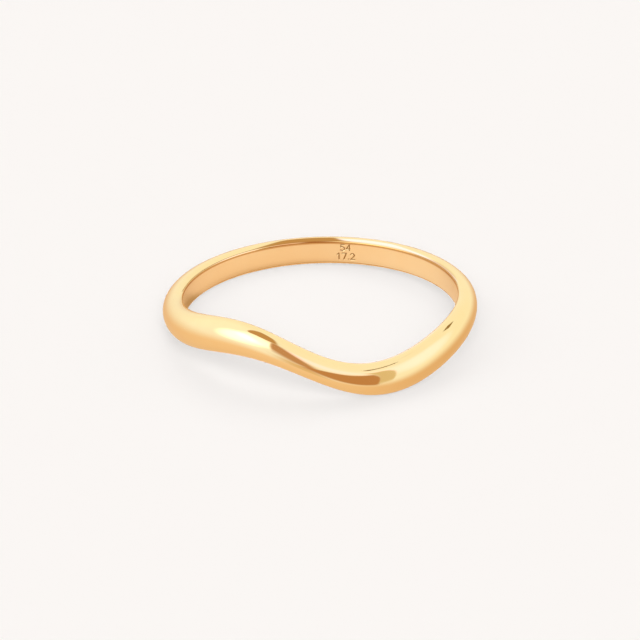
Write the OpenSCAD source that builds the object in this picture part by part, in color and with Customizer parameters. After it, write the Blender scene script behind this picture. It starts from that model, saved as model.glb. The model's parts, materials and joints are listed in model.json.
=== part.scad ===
// Wave ring: one solid metal band, plain at the back, that swings up into a crest and down
// into a trough at the front. It lies on its side on a flat surface, as it rests by itself:
// the trough's underside and the back's underside touch, so the finger axis leans a little.
// Angles run round the finger axis from the middle of the front (-Y), positive towards +X.

/* [Finger hole] */
// Inside diameter, across the finger hole
bore_d = 17.2; // [14:0.1:22]
// Radius that softens both edges of the hole
edge_r = 0.15; // [0.1:0.05:0.35]

/* [Band] */
// Depth of the band, from the hole to the top of its dome
depth = 1.24; // [1:0.01:2]
// Depth that the crest's side has over that, and the other side under it
depth_extra = 0.05; // [0:0.01:0.1]
// Distance from the hole to the place where the band is widest
waist = 0.38; // [0.36:0.02:0.5]
// Height that each side loses between its widest place and the hole
side_fall = 0.07; // [0.01:0.01:0.1]
// Width at the back, measured along the finger axis
back_w = 1.75; // [1.4:0.05:2.5]
// Width that the front gains over the back
front_gain = 0.69; // [0:0.01:1.2]
// Angle either side of the front at which a third of that gain is left
gain_reach = 83; // [60:1:110]
// Width lost again where the band crosses from crest to trough
cross_loss = 0.69; // [0:0.01:0.8]
// Angle either side of the crossing at which a third of that loss is left
loss_reach = 29; // [15:0.5:40]

/* [Wave] */
// Height of the crest, at the band's middle line
crest_h = 1.35; // [0:0.05:2]
// Depth of the trough, at the band's middle line
trough_h = 1.22; // [0:0.01:2]
// Angle of the crossing between crest and trough
cross_a = -3.7; // [-15:0.1:15]
// Angle from the crossing to the crest, and from the crossing to the trough
swing_a = 29.2; // [22:0.1:40]

/* [Hidden] */
// Sections round the ring, and steps along each stretch of a section's outline
sections = 144;
dome_steps = 14;
side_steps = 3;
edge_steps = 3;
// The edge's rounding stops this far round, so that it meets the hole's wall at a clear angle
edge_end = 150;
// Angle at which the band is deepest
deepest_a = -120;
// How far the swept outline reaches into the hole, where the bore cuts it away
inward = 0.1;
inward_fall = 0.2;
bore_r = bore_d / 2;
bore_facets = 180;

// Middle line: a crest on one side of the crossing and a trough on the other, each dying away
// smoothly towards the back. At swing 1 the wave is at its full height.
function swing(a) = (a - cross_a) / swing_a;
function side_share(s) = s * sqrt(2) / sqrt(1 + s * s);
function wave_height(s) = (trough_h + crest_h) / 2 + (trough_h - crest_h) / 2 * side_share(s);
function rise(a) = let (s = swing(a)) -wave_height(s) * s * exp((1 - s * s) / 2);

// Width: the back's, with a broad gain over the front and a narrow loss at the crossing
function width(a) = back_w + front_gain * exp(-pow(a / gain_reach, 4))
    - cross_loss * exp(-pow((a - cross_a) / loss_reach, 2));

// Depth: a touch more on the crest's side
function band_depth(a) = depth + depth_extra * cos(a - deepest_a);

// One section, as [distance out from the hole's wall, height above the middle line] points.
// An oval, widest at the waist, is cut by the hole and rounded all round by edge_r: the
// outline runs along the normals of an oval that is smaller by edge_r.
function outline_point(reach, half_w, t) = let (n = [half_w * cos(t), reach * sin(t)])
    [waist + reach * cos(t), half_w * sin(t)] + edge_r * n / norm(n);
function normal_angle(reach, half_w, t) = atan2(reach * sin(t), half_w * cos(t));
function upper_half(w, d) = let (
        half_w = w / 2 - edge_r,
        out_reach = d - edge_r - waist,
        left_share = 1 - side_fall / half_w,
        in_reach = (waist - edge_r) / sqrt(1 - pow(left_share, 2)),
        in_turn = asin((waist - edge_r) / in_reach),
        edge_centre = [edge_r, half_w * cos(in_turn)],
        edge_start = normal_angle(in_reach, half_w, 90 + in_turn),
        last = edge_centre + edge_r * [cos(edge_end), sin(edge_end)])
    concat(
        [for (i = [1 : dome_steps / 2]) outline_point(out_reach, half_w, 180 * i / dome_steps)],
        [for (i = [1 : side_steps]) outline_point(in_reach, half_w, 90 + in_turn * i / side_steps)],
        [for (i = [1 : edge_steps]) let (t = edge_start + (edge_end - edge_start) * i / edge_steps)
            edge_centre + edge_r * [cos(t), sin(t)]],
        [[-inward, last[1] - inward_fall]]);
function outline(w, d) = let (upper = upper_half(w, d), n = len(upper)) concat(
    [[d, 0]], upper, [for (i = [n - 1 : -1 : 0]) [upper[i][0], -upper[i][1]]]);

// The sections swept round the finger axis
function place(a, p) = [(bore_r + p[0]) * sin(a), -(bore_r + p[0]) * cos(a), rise(a) + p[1]];
function section_angle(i) = -180 + 360 * i / sections;
ring_points = [for (i = [0 : sections - 1]) let (a = section_angle(i))
    for (p = outline(width(a), band_depth(a))) place(a, p)];
outline_count = len(outline(back_w, depth));
ring_faces = [for (i = [0 : sections - 1], j = [0 : outline_count - 1])
    let (
        k = (i + 1) % sections,
        m = (j + 1) % outline_count,
        a = i * outline_count + j,
        b = k * outline_count + j,
        c = k * outline_count + m,
        d = i * outline_count + m)
    each [[a, c, b], [a, d, c]]];

// Resting pose: the floor touches the lowest place of the front and the back straight across
// from it, both at the band's waist
function underside(a) = rise(a) - width(a) / 2;
front_angles = [for (i = [0 : sections - 1]) if (abs(section_angle(i)) < 90) section_angle(i)];
front_low = min([for (a = front_angles) underside(a)]);
front_low_a = [for (a = front_angles) if (underside(a) == front_low) a][0];
back_low = underside(front_low_a > 0 ? front_low_a - 180 : front_low_a + 180);
rest_lean = atan((back_low - front_low) / (2 * (bore_r + waist)));
lift_way = [sin(front_low_a), -cos(front_low_a), 0];
lean_axis = cross(lift_way, [0, 0, 1]);
function lean(p) = p * cos(rest_lean) + cross(lean_axis, p) * sin(rest_lean)
    + lean_axis * (lean_axis * p) * (1 - cos(rest_lean));
leaned = [for (p = ring_points) lean(p)];
function middle(axis) = (min([for (p = leaned) p[axis]]) + max([for (p = leaned) p[axis]])) / 2;
rest_shift = [-middle(0), -middle(1), -min([for (p = leaned) p.z])];

module band() {
    bore_reach = crest_h + trough_h + back_w + front_gain;
    color("gold")
        translate(rest_shift)
            rotate(rest_lean, lean_axis)
                difference() {
                    polyhedron(ring_points, ring_faces, convexity = 6);
                    cylinder(h = 2 * bore_reach, r = bore_r, center = true, $fn = bore_facets);
                }
}

band();
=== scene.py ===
import json
import math

import bpy
import numpy as np
from mathutils import Matrix, Vector


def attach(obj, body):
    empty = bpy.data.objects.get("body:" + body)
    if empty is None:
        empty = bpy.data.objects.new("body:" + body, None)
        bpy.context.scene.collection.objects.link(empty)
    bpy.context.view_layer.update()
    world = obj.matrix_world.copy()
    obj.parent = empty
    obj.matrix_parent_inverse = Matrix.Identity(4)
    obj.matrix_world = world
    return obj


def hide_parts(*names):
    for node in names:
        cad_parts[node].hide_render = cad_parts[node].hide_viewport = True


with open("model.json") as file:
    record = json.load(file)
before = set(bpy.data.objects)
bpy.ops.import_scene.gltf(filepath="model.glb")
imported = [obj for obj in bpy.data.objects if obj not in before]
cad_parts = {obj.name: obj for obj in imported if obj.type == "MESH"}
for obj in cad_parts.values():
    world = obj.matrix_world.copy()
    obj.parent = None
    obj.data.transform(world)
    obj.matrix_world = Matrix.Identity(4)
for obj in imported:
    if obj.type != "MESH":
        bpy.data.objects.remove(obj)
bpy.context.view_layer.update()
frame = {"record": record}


# The band, which is the whole ring
# One casting of sterling silver with a domed outside and a plain inside, filed and polished by hand.
# It is swept round the finger axis: angles in degrees from the front (-Y), positive towards +X, sizes in mm.
MM = 0.001
hole = frame["record"]["mounts"][0]
hole_centre = Vector(hole["pos_m"])
bore_radius = hole["dims"]["r_mm"]

# Depth from the hole to the top of the dome, and what the crest's side has over it
depth = 1.24
depth_extra = 0.05
depth_extra_angle = -120
# How far from the hole the band is widest, what its sides lose from there to the hole, and the hole's edges
waist = 0.38
side_fall = 0.07
edge_radius = 0.15
# Width at the back, what the front gains over it, and what the crossing from crest to trough loses again
back_width = 1.75
front_gain = 0.69
gain_reach = 83
cross_loss = 0.69
loss_reach = 29
# The wave: a crest one swing left of the crossing and a trough one swing right of it
crest_height = 1.35
trough_depth = 1.22
crossing_angle = -3.7
swing_angle = 29.2


def rise(angle):
    """Height of the band's middle line, which dies away smoothly from the wave to the back."""
    s = (angle - crossing_angle) / swing_angle
    side = s * math.sqrt(2) / np.sqrt(1 + s * s)
    height = (trough_depth + crest_height) / 2 + (trough_depth - crest_height) / 2 * side
    return -height * s * np.exp((1 - s * s) / 2)


def width(angle):
    """Width along the finger axis: a broad gain over the front, a narrow loss at the crossing."""
    gain = front_gain * np.exp(-(angle / gain_reach) ** 4)
    loss = cross_loss * np.exp(-(((angle - crossing_angle) / loss_reach) ** 2))
    return back_width + gain - loss


def band_depth(angle):
    """Depth from the hole to the top of the dome."""
    return depth + depth_extra * np.cos(np.radians(angle - depth_extra_angle))


# Steps along each stretch of the section's outline, and round the ring
dome_steps = 40
side_steps = 8
edge_steps = 12
wall_steps = 72
ring_steps = 420


def half_outline(w, d):
    """Upper half of the sections of widths w and depths d: (out from the hole, up) for each step."""
    half = w / 2 - edge_radius
    out_reach = d - edge_radius - waist
    in_reach = (waist - edge_radius) / np.sqrt(1 - (1 - side_fall / half) ** 2)
    in_turn = np.arcsin((waist - edge_radius) / in_reach)
    points = []

    def add_oval(reach, turn):
        """Adds a point edge_radius outside an oval, and returns the angle of the normal there."""
        along, across = half * np.cos(turn), reach * np.sin(turn)
        size = np.hypot(along, across)
        points.append((waist + reach * np.cos(turn) + edge_radius * along / size,
                       half * np.sin(turn) + edge_radius * across / size))
        return np.arctan2(across, along)

    for i in range(dome_steps // 2 + 1):
        add_oval(out_reach, np.full_like(w, math.pi * i / dome_steps))
    for i in range(1, side_steps + 1):
        edge_start = add_oval(in_reach, math.pi / 2 + in_turn * i / side_steps)
    for i in range(1, edge_steps + 1):
        turn = edge_start + (math.pi - edge_start) * i / edge_steps
        points.append((edge_radius + edge_radius * np.cos(turn),
                       half * np.cos(in_turn) + edge_radius * np.sin(turn)))
    return points


def sections(angles):
    """Every section's outline as an array [section, step, (out, up)]: upper half, wall, lower half."""
    upper = half_outline(width(angles), band_depth(angles))
    lower = [(out, -up) for out, up in upper[:0:-1]]
    wall_top = upper[-1][1]
    wall = [(np.zeros_like(angles), wall_top * (1 - 2 * i / wall_steps)) for i in range(1, wall_steps)]
    return np.array([np.stack(pair, 1) for pair in upper + wall + lower]).transpose(1, 0, 2)


# The ring size engraved inside the back
# A plain number, the inside circumference in millimetres, with the inside diameter below it.
# Each figure is drawn with a graver as a few thin strokes, cut a few hundredths of a millimetre deep.
# Where its middle is round the ring, the sizes of its figures, the heights of its rows, and the cut
figure_angle = 168.5
figure_height = 0.42
figure_width = 0.27
point_width = 0.06
figure_gap = 0.11
row_heights = (0.34, -0.26)
row_texts = ("54", "17.2")
cut_half_width = 0.029
cut_depth = 0.045

# Strokes of each figure in a box one wide and one high, as lines of points
strokes = {
    "1": [[(0.2, 0.75), (0.6, 1), (0.6, 0)]],
    "2": [[(0, 0.78), (0.2, 0.97), (0.6, 1), (0.95, 0.75), (0.7, 0.42), (0, 0), (1, 0)]],
    "4": [[(0.75, 0), (0.75, 1), (0, 0.3), (1, 0.3)]],
    "5": [[(0.95, 1), (0.15, 1), (0.08, 0.58), (0.5, 0.66), (0.95, 0.45), (0.9, 0.15), (0.5, 0), (0, 0.12)]],
    "7": [[(0, 1), (1, 1), (0.35, 0)]],
    ".": [[(0.5, 0.02), (0.5, 0.05)]],
}


def cut_lines():
    """All strokes as pairs of points in mm, along the wall and up it, from the number's centre."""
    lines = []
    for text, height in zip(row_texts, row_heights):
        sizes = [point_width if character == "." else figure_width for character in text]
        left = -(sum(sizes) + figure_gap * (len(text) - 1)) / 2
        for character, size in zip(text, sizes):
            for line in strokes[character]:
                spots = [(left + x * size, height + (y - 0.5) * figure_height) for x, y in line]
                lines += list(zip(spots[:-1], spots[1:]))
            left += size + figure_gap
    return lines


def cut_share(along, up):
    """How deep the graver has gone at each place on the wall, from 0 to 1."""
    nearest = np.full(up.shape, np.inf)
    for (x0, y0), (x1, y1) in cut_lines():
        dx, dy = x1 - x0, y1 - y0
        t = np.clip(((along - x0) * dx + (up - y0) * dy) / (dx * dx + dy * dy), 0, 1)
        nearest = np.minimum(nearest, np.hypot(along - x0 - t * dx, up - y0 - t * dy))
    return np.exp(-((nearest / cut_half_width) ** 2))


# The band's mesh: sections round the ring, closer together in a window where the number is cut
window_half_angle = 6
window_steps = 130


def wrapped(angle):
    """The same angle from -180 to 180."""
    return (angle + 180) % 360 - 180


fine = np.linspace(figure_angle - window_half_angle, figure_angle + window_half_angle, window_steps)
coarse = np.linspace(fine[-1], fine[0] + 360, ring_steps)[1:-1]
angles = wrapped(np.concatenate([fine, coarse]))
outline = sections(angles)
station_count, row_count = outline.shape[:2]

station = np.arange(station_count)
row = np.arange(row_count)
wall_first = dome_steps // 2 + side_steps + edge_steps
on_wall = (row >= wall_first) & (row <= wall_first + wall_steps)
along_wall = np.radians(wrapped(figure_angle - angles))[:, None] * bore_radius
engraved = np.where(on_wall, cut_share(along_wall, outline[:, :, 1]), 0)
outline[:, :, 0] += cut_depth * engraved

radius = bore_radius + outline[:, :, 0]
turn = np.radians(angles)[:, None]
right, back = radius * np.sin(turn), -radius * np.cos(turn)
ring_points = np.stack([right, back, rise(angles)[:, None] + outline[:, :, 1]], -1).reshape(-1, 3)

# The ring lies on its side, so its finger axis leans as the mount's axis does
finger_axis = Vector(hole["axis"]).normalized()
lean = Vector((0, 0, 1)).rotation_difference(finger_axis).to_matrix().to_4x4()
ring_to_row = Matrix.Translation(hole_centre) @ lean @ Matrix.Scale(MM, 4)

here = station[:, None] * row_count + row[None, :]
beyond = np.roll(here, -1, 0)
quads = np.stack([here, beyond, np.roll(beyond, -1, 1), np.roll(here, -1, 1)], -1).reshape(-1, 4)

band_mesh = bpy.data.meshes.new("gold_band")
band_mesh.from_pydata(ring_points.tolist(), [], quads.tolist())
band_mesh.transform(ring_to_row)
band_mesh.shade_smooth()
band = bpy.data.objects.new("gold_band", band_mesh)
bpy.context.scene.collection.objects.link(band)

# How far each point is round the ring and along the section's outline, for the marks of polishing
step_lengths = np.hypot(*np.diff(outline, axis=1).transpose(2, 0, 1))
across = np.concatenate([np.zeros((station_count, 1)), np.cumsum(step_lengths, 1)], 1)
grain = np.stack([right, back, across], -1).reshape(-1)
band_mesh.attributes.new("grain", "FLOAT_VECTOR", "POINT").data.foreach_set("vector", grain)

# How near each point is to the hole's upper rim, for a painted shade along it: the shade reaches so far
# outwards and down the wall. At two angles, over a spread of degrees, it reaches further or less.
outward_reach = 0.13
wall_reach = 0.07
rim_shade_changes = ((112, 14, 0.12), (-142, 16, -0.07))
reach = np.full((station_count, 1), outward_reach)
for angle, spread, further in rim_shade_changes:
    reach += further * np.exp(-((wrapped(angles - angle) / spread) ** 4))[:, None]
past_rim = across - across[:, [wall_first]]
rim_shade = np.exp(-((past_rim / np.where(past_rim < 0, reach, wall_reach)) ** 4))

inside = np.broadcast_to(on_wall, engraved.shape).astype(float)
for name, share in (("inside", inside), ("rim_shade", rim_shade), ("engraved", engraved)):
    band_mesh.attributes.new(name, "FLOAT", "POINT").data.foreach_set("value", share.reshape(-1))


def linear(hex_colour):
    """An sRGB hex colour as linear red, green, blue and alpha."""
    parts = [int(hex_colour[i:i + 2], 16) / 255 for i in (1, 3, 5)]
    return [p / 12.92 if p <= 0.04045 else ((p + 0.055) / 1.055) ** 2.4 for p in parts] + [1]


def add_node(tree, kind, inputs=None, **settings):
    """Adds a node with its settings, and gives each named input a value or another node's output."""
    made = tree.nodes.new(kind)
    for name, value in settings.items():
        setattr(made, name, value)
    for name, source in (inputs or {}).items():
        if isinstance(source, bpy.types.NodeSocket):
            tree.links.new(source, made.inputs[name])
        else:
            made.inputs[name].default_value = source
    return made


# A Mix node's inputs and outputs, several of which have the same name
mix_share, number_a, number_b, colour_a, colour_b = 0, 2, 3, 6, 7
mixed_number, mixed_colour = 0, 2


def new_node_tree(owner):
    """The empty node tree of a material or world."""
    owner.use_nodes = True
    owner.node_tree.nodes.clear()
    return owner.node_tree


# Polished gold plate over silver
# The outside is buffed bright and mirrors the tent sharply. The inside is left satin, so it shows only
# soft glows. Fine polishing lines run round both.
# The rim's colour is painted shade, and the cuts' colour is a dark film with painted shade
bright_gold, deep_gold, rim_shade_gold, cut_film_and_shade = "#FFEAB8", "#FFE5AE", "#D4A868", "#97703F"
outside_roughness = (0.035, 0.07)
inside_roughness = (0.26, 0.32)
gold = bpy.data.materials.new("polished_gold_plate")
tree = new_node_tree(gold)
grain_place = add_node(tree, "ShaderNodeAttribute", attribute_name="grain").outputs["Vector"]
inside_share, rim_shade_share, engraved_share = [
    add_node(tree, "ShaderNodeAttribute", attribute_name=name).outputs["Fac"]
    for name in ("inside", "rim_shade", "engraved")]

# The plate is a little thicker in clouds about a millimetre wide, and a little deeper in colour there
cloud_size = 1.111
cloud = add_node(tree, "ShaderNodeTexNoise", {"Vector": grain_place, "Scale": 1 / cloud_size, "Detail": 3.0})
plate = add_node(tree, "ShaderNodeMix", {mix_share: cloud.outputs["Fac"], colour_a: linear(bright_gold),
                                         colour_b: linear(deep_gold)}, data_type="RGBA")
# Painted shade: a deeper line of colour along the hole's upper rim
rim_shaded = add_node(tree, "ShaderNodeMix", {mix_share: rim_shade_share, colour_a: plate.outputs[mixed_colour],
                                          colour_b: linear(rim_shade_gold)}, data_type="RGBA")
# The graver's cuts are darker: a dark film that polishing doesn't reach, and painted shade in the hollows
colour = add_node(tree, "ShaderNodeMix", {mix_share: engraved_share, colour_a: rim_shaded.outputs[mixed_colour],
                                          colour_b: linear(cut_film_and_shade)}, data_type="RGBA")

# Lines of the last polish, a few millimetres long: 60 to the millimetre across the band in life, and
# drawn five times coarser, because finer ones don't show
real_lines = 60
times_coarser = 5
line_length = 2.857
lines_stretch = (1 / line_length, 1 / line_length, real_lines / times_coarser)
stretched = add_node(tree, "ShaderNodeVectorMath", {0: grain_place, 1: lines_stretch}, operation="MULTIPLY")
lines = add_node(tree, "ShaderNodeTexNoise", {"Vector": stretched.outputs["Vector"], "Scale": 1.0,
                                              "Detail": 2.0})
outside_rough, inside_rough = [
    add_node(tree, "ShaderNodeMapRange", {"Value": lines.outputs["Fac"], "To Min": low, "To Max": high})
    for low, high in (outside_roughness, inside_roughness)]
rough = add_node(tree, "ShaderNodeMix", {mix_share: inside_share, number_a: outside_rough.outputs["Result"],
                                         number_b: inside_rough.outputs["Result"]}, data_type="FLOAT")
# The same lines as relief: shallow outside, deeper in the satin wall
groove_depth = 0.01 * MM
outside_relief, inside_relief = 0.06, 0.35
relief = add_node(tree, "ShaderNodeMapRange", {"Value": inside_share, "To Min": outside_relief,
                                               "To Max": inside_relief})
grooves = add_node(tree, "ShaderNodeBump", {"Height": lines.outputs["Fac"], "Distance": groove_depth,
                                            "Strength": relief.outputs["Result"]})
shader = add_node(tree, "ShaderNodeBsdfPrincipled",
                  {"Base Color": colour.outputs[mixed_colour], "Metallic": 1.0,
                   "Roughness": rough.outputs[mixed_number], "Normal": grooves.outputs["Normal"]})
add_node(tree, "ShaderNodeOutputMaterial", {"Surface": shader.outputs["BSDF"]})
band_mesh.materials.append(gold)

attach(band, "root")
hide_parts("band")
# The floor takes its shadow from the lamps alone, and no light from the gold
band.visible_diffuse = False


# The floor
# A big sheet of pale matt card, which the ring lies on. It doesn't show in the gold. Sizes in metres.
floor_colour = "#FBF7F4"
floor_half = 3.0


def add_stage_mesh(name, points, material):
    """Adds a flat stage piece with the corners given."""
    mesh = bpy.data.meshes.new(name)
    mesh.from_pydata(points, [], [tuple(range(len(points)))])
    mesh.materials.append(material)
    made = bpy.data.objects.new(name, mesh)
    bpy.context.scene.collection.objects.link(made)
    return made


floor_paint = bpy.data.materials.new("pale_floor_card")
tree = new_node_tree(floor_paint)
paint = add_node(tree, "ShaderNodeBsdfDiffuse", {"Color": linear(floor_colour)})
add_node(tree, "ShaderNodeOutputMaterial", {"Surface": paint.outputs["BSDF"]})
floor_corners = [(x * floor_half, y * floor_half, 0) for x, y in ((-1, -1), (1, -1), (1, 1), (-1, 1))]
floor = add_stage_mesh("floor", floor_corners, floor_paint)
floor.visible_glossy = False


# The floor inside the ring
# The gold round it lights it warm. A glowing card just above the floor gives that to the gold alone, as a
# painted reflection: darker where the wall stands on it and towards the ring's left, which is painted shade,
# and paler towards its right.
glow_radius = 8.4 * MM
glow_height = 0.02 * MM
glow_foot_shade, glow_middle, glow_right, glow_left_shade = "#BD8C5C", "#FBDCC6", "#FFEADF", "#AE885E"
glow_front_spot = (0, -1.2 * MM, 0)
glow_left_spot = (-7.9 * MM, 3.3 * MM, 0)
glow_corners = 48


def show_in_gold_only(piece):
    """Hides a stage piece from the camera, the floor and the lamps."""
    piece.visible_camera = False
    piece.visible_diffuse = False
    piece.visible_shadow = False


glow_card = bpy.data.materials.new("warm_floor_glow")
tree = new_node_tree(glow_card)
glow_place = add_node(tree, "ShaderNodeTexCoord").outputs["Object"]
right_way = add_node(tree, "ShaderNodeSeparateXYZ", {"Vector": glow_place}).outputs["X"]
from_front, from_left = [
    add_node(tree, "ShaderNodeVectorMath", {0: glow_place, 1: spot}, operation="DISTANCE").outputs["Value"]
    for spot in (glow_front_spot, glow_left_spot)]
# Tint, the measure that it goes by, and where it starts and is full
glow_colour = linear(glow_middle)
for tint, measure, start, full in ((glow_right, right_way, -0.1 * glow_radius, 0.6 * glow_radius),
                                   (glow_foot_shade, from_front, 8.2 * MM, 9.6 * MM),
                                   (glow_left_shade, from_left, 2.2 * MM, 0.6 * MM)):
    share = add_node(tree, "ShaderNodeMapRange", {"Value": measure, "From Min": start, "From Max": full},
                     interpolation_type="SMOOTHSTEP")
    glow_colour = add_node(tree, "ShaderNodeMix",
                           {mix_share: share.outputs["Result"], colour_a: glow_colour,
                            colour_b: linear(tint)}, data_type="RGBA").outputs[mixed_colour]
glow_light = add_node(tree, "ShaderNodeEmission", {"Color": glow_colour})
add_node(tree, "ShaderNodeOutputMaterial", {"Surface": glow_light.outputs["Emission"]})
glow_turns = [2 * math.pi * i / glow_corners for i in range(glow_corners)]
glow_points = [(glow_radius * math.cos(t), glow_radius * math.sin(t), 0) for t in glow_turns]
glow = add_stage_mesh("floor_glow", glow_points, glow_card)
glow.location = (hole_centre.x, hole_centre.y, glow_height)
show_in_gold_only(glow)


# The light tent, seen only in the gold
# Pale cloth all round, warmer low down and away from the main lamp, with lamps behind it and warm cards
# in front of it. They are placed as seen from the ring, in degrees right of the front and degrees up.
lamp_side = (-50, 0)
# Colours of the low and the high cloth, away from the main lamp and near it. The low cloth turns into
# the high one as a ray's way along cloth_up goes from the first to the second limit.
low_cloth = ("#E2B98E", "#F9DABB")
high_cloth = ("#FFFCEA", "#FFFFFF")
cloth_up = (0, -0.21, 1)
cloth_limits = (-0.54, 0.01)
# Colour, strength, degrees right and up, and how far from there the glow ends and is full
lamps = (
    ("#FFFFFF", 0.62, -38, 41, 32, 2),
    ("#FFFFFF", 0.85, -60, 20, 33, 2),
    ("#E2A8FF", 0.39, 74, 27, 34, 4),
    ("#FF82FF", 0.35, 27, 46, 20, 3),
    ("#FFFFFF", 0.08, -110, 44, 50, 20),
)
# Colour and corners: degrees right and up, and how many the side that starts there is blurred over
cards = (
    ("#C59A68", ((-148, 74, 3), (-112, 73.5, 3), (-84, 68, 3), (-68, 66, 3), (-36, 69, 4), (-4, 68.5, 5),
                 (14, 68, 5), (60, 77.5, 5), (128, 73, 4), (150, 69.5, 4), (166, 66, 6))),
    ("#E4C49C", ((-27, -4, 20), (-4, -4, 10), (4, -34, 14), (-27, -34, 22))),
    ("#C59670", ((-26, 22, 3), (-20, 45, 3), (-10, 62, 5), (-5, 67.5, 8), (21, 68, 16), (19, 46, 18),
                 (16, 28, 14), (10, 2, 14), (-11, -4, 26))),
    ("#C28D5F", ((45, 39, 4), (20, 23, 7), (2, 13, 14), (-12, 0, 24), (4, -23, 16), (20, -28, 10),
                 (41, -26, 1.5))),
    ("#E1CBA3", ((46, 41, 5), (53.6, 45, 1.5), (51, -12, 12), (40.5, -20, 1.5))),
)

world = bpy.data.worlds.new("light_tent")
bpy.context.scene.world = world
tree = new_node_tree(world)
way = add_node(tree, "ShaderNodeTexCoord").outputs["Generated"]


def direction(right, up):
    """The way from the ring towards something so many degrees right of the front and so many up."""
    right, up = math.radians(right), math.radians(up)
    return Vector((math.sin(right) * math.cos(up), -math.cos(right) * math.cos(up), math.sin(up)))


def share_past(normal, low, high, kind="SMOOTHSTEP"):
    """Output that goes from 0 to 1 as the ray's way along a normal goes from low to high."""
    dot = add_node(tree, "ShaderNodeVectorMath", {0: way, 1: normal}, operation="DOT_PRODUCT")
    return add_node(tree, "ShaderNodeMapRange",
                    {"Value": dot.outputs["Value"], "From Min": low, "From Max": high},
                    interpolation_type=kind).outputs["Result"]


lit_share = share_past(direction(*lamp_side), -1, 1, "LINEAR")
low_colour, high_colour = [
    add_node(tree, "ShaderNodeMix", {mix_share: lit_share, colour_a: linear(far), colour_b: linear(near)},
             data_type="RGBA").outputs[mixed_colour] for far, near in (low_cloth, high_cloth)]
tent_colour = add_node(tree, "ShaderNodeMix",
                       {mix_share: share_past(cloth_up, *cloth_limits), colour_a: low_colour,
                        colour_b: high_colour}, data_type="RGBA").outputs[mixed_colour]
for tint, strength, right, up, outer, inner in lamps:
    share = share_past(direction(right, up), math.cos(math.radians(outer)), math.cos(math.radians(inner)))
    added = [part * strength for part in linear(tint)]
    tent_colour = add_node(tree, "ShaderNodeMix",
                           {mix_share: share, colour_a: tent_colour, colour_b: added},
                           data_type="RGBA", blend_type="ADD").outputs[mixed_colour]
for tint, corners in cards:
    middle = sum((direction(right, up) for right, up, blur in corners), Vector())
    covered = 1.0
    for (right, up, blur), (next_right, next_up, _) in zip(corners, corners[1:] + corners[:1]):
        side = direction(right, up).cross(direction(next_right, next_up)).normalized()
        if side.dot(middle) < 0:
            side = -side
        half_blur = math.sin(math.radians(blur / 2))
        covered = add_node(tree, "ShaderNodeMath", {0: covered, 1: share_past(side, -half_blur, half_blur)},
                           operation="MULTIPLY").outputs[0]
    tent_colour = add_node(tree, "ShaderNodeMix",
                           {mix_share: covered, colour_a: tent_colour, colour_b: linear(tint)},
                           data_type="RGBA").outputs[mixed_colour]

# The gold sees the tent, the camera sees a plain backdrop in the floor's colour, and the floor neither
rays = add_node(tree, "ShaderNodeLightPath")
tent, backdrop, unlit = [
    add_node(tree, "ShaderNodeBackground", {"Color": seen_colour}).outputs["Background"]
    for seen_colour in (tent_colour, linear(floor_colour), (0, 0, 0, 1))]
in_gold = add_node(tree, "ShaderNodeMixShader", {0: rays.outputs["Is Glossy Ray"], 1: unlit, 2: tent})
seen = add_node(tree, "ShaderNodeMixShader",
                {0: rays.outputs["Is Camera Ray"], 1: in_gold.outputs["Shader"], 2: backdrop})
add_node(tree, "ShaderNodeOutputWorld", {"Surface": seen.outputs["Shader"]})


# The two glowing strips, seen only in the gold
# Two thin strips close to the ring, which paint dark reflections in the gold: a short dark leaf at the
# ring's right, and a line along the trough. Both face the ring.
# Name, colour, both ends and half the width, in mm
for name, tint, first_end, last_end, half_width in (
        ("dark_leaf_card", "#9A7C4C", (9.56, -2.18, 6.00), (9.74, -3.64, 6.00), 0.62),
        ("trough_line_card", "#8F5C12", (4.48, -9.99, 5.49), (6.09, -8.19, 5.86), 0.24)):
    strip_paint = bpy.data.materials.new(name)
    tree = new_node_tree(strip_paint)
    strip_light = add_node(tree, "ShaderNodeEmission", {"Color": linear(tint)})
    add_node(tree, "ShaderNodeOutputMaterial", {"Surface": strip_light.outputs["Emission"]})
    ends = Vector(first_end) * MM, Vector(last_end) * MM
    to_ring = hole_centre - (ends[0] + ends[1]) / 2
    aside = (ends[1] - ends[0]).cross(to_ring).normalized() * half_width * MM
    show_in_gold_only(add_stage_mesh(
        name, [ends[0] - aside, ends[1] - aside, ends[1] + aside, ends[0] + aside], strip_paint))


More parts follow.
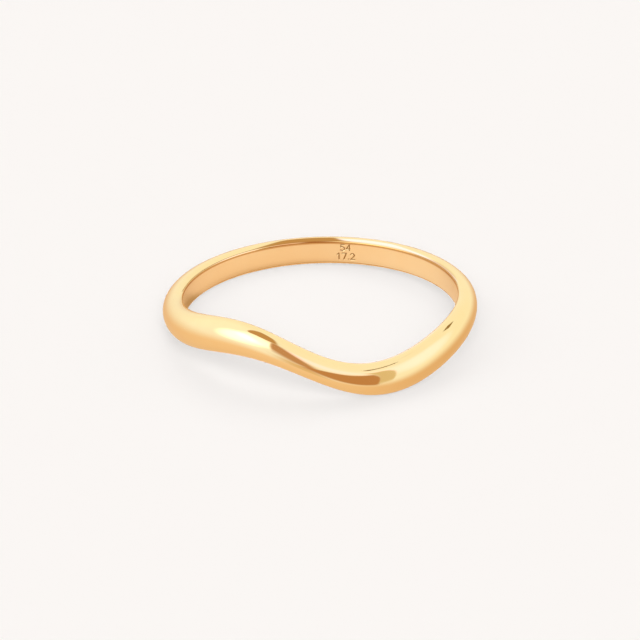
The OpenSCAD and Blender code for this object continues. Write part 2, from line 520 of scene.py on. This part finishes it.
# The cards over the back, seen only in the gold
# Two level cards with soft edges, one above the other: the dark one gives the back's rim its brown
# patch, and the bright one the highlight to the right of it.
# Name, colour, strength, height, left and right side and their blur, front and back edge and theirs, in mm
for name, tint, strength, height, sides, side_blur, ends, end_blur in (
        ("dark_back_card", "#C49A69", 1.0, 6.0, (-2.8, 1.15), 0.5, (6.6, 22.0), 0.8),
        ("bright_back_card", "#D8D8FF", 1.8, 6.4, (0.2, 4.6), 0.8, (4.0, 15.0), 2.5)):
    card_paint = bpy.data.materials.new(name)
    tree = new_node_tree(card_paint)
    place = add_node(tree, "ShaderNodeTexCoord").outputs["Object"]
    ways = add_node(tree, "ShaderNodeSeparateXYZ", {"Vector": place})
    covered = 1.0
    for way_name, edge, inwards in (("X", sides[0], side_blur), ("X", sides[1], -side_blur),
                                    ("Y", ends[0], end_blur), ("Y", ends[1], -end_blur)):
        past = add_node(tree, "ShaderNodeMapRange",
                        {"Value": ways.outputs[way_name], "From Min": edge * MM,
                         "From Max": (edge + inwards) * MM}, interpolation_type="SMOOTHSTEP")
        covered = add_node(tree, "ShaderNodeMath", {0: covered, 1: past.outputs["Result"]},
                           operation="MULTIPLY").outputs[0]
    clear = add_node(tree, "ShaderNodeBsdfTransparent")
    card_light = add_node(tree, "ShaderNodeEmission", {"Color": linear(tint), "Strength": strength})
    card = add_node(tree, "ShaderNodeMixShader",
                    {0: covered, 1: clear.outputs["BSDF"], 2: card_light.outputs["Emission"]})
    add_node(tree, "ShaderNodeOutputMaterial", {"Surface": card.outputs["Shader"]})
    corners = [(x * MM, y * MM, height * MM) for x, y in
               ((sides[0], ends[0]), (sides[1], ends[0]), (sides[1], ends[1]), (sides[0], ends[1]))]
    show_in_gold_only(add_stage_mesh(name, corners, card_paint))


# The floor's own light
# Four softboxes outside the tent cast the soft shadow, and the cloth between them gives the rest from
# all round. None of them shows in the gold.
# Name, share of the floor's light, degrees across, degrees right and up, whether it casts a shadow
for name, share, across, right, up, casts in (
        ("front_softbox", 0.19, 38, 0, 39, True),
        ("back_softbox", 0.08, 50, 180, 60, True),
        ("left_softbox", 0.05, 50, -90, 42, True),
        ("right_softbox", 0.02, 50, 90, 42, True),
        ("cloth", 0.66, 60, 0, 90, False)):
    light = bpy.data.lights.new(name, "SUN")
    light.energy = share * math.pi / math.sin(math.radians(up))
    light.use_shadow = casts
    light.angle = math.radians(across)
    light.cycles.use_multiple_importance_sampling = False
    lamp = bpy.data.objects.new(name, light)
    bpy.context.scene.collection.objects.link(lamp)
    lamp.rotation_mode = "QUATERNION"
    lamp.rotation_quaternion = (-direction(right, up)).to_track_quat("-Z", "Y")
    lamp.visible_glossy = False


# The camera, at the photograph's angle
# It is turned towards the middle of the hole, and shifted to where that is in the photograph.
# Degrees right of the front and up, degrees of roll, and distances in metres.
camera_right = -1.05
camera_up = 27.93
camera_roll = 0.68
camera_distance = 0.2307
camera_clip = (0.01, 10)
ring_centre_px = (320.62, 306.13)
pixels_per_mm = 15.967
frame_px = 640
sensor_mm = 36
camera_data = bpy.data.cameras.new("camera")
camera_data.sensor_width = sensor_mm
camera_data.lens = pixels_per_mm * camera_distance / MM * sensor_mm / frame_px
camera_data.shift_x = (frame_px / 2 - ring_centre_px[0]) / frame_px
camera_data.shift_y = (ring_centre_px[1] - frame_px / 2) / frame_px
camera_data.clip_start, camera_data.clip_end = camera_clip
camera = bpy.data.objects.new("camera", camera_data)
bpy.context.scene.collection.objects.link(camera)
towards_ring = -direction(camera_right, camera_up)
look = towards_ring.to_track_quat("-Z", "Y")
camera.rotation_mode = "QUATERNION"
camera.rotation_quaternion = look @ Matrix.Rotation(math.radians(camera_roll), 3, "Z").to_quaternion()
camera.location = hole_centre - towards_ring * camera_distance
bpy.context.scene.camera = camera
bpy.context.scene.view_settings.view_transform = "Standard"
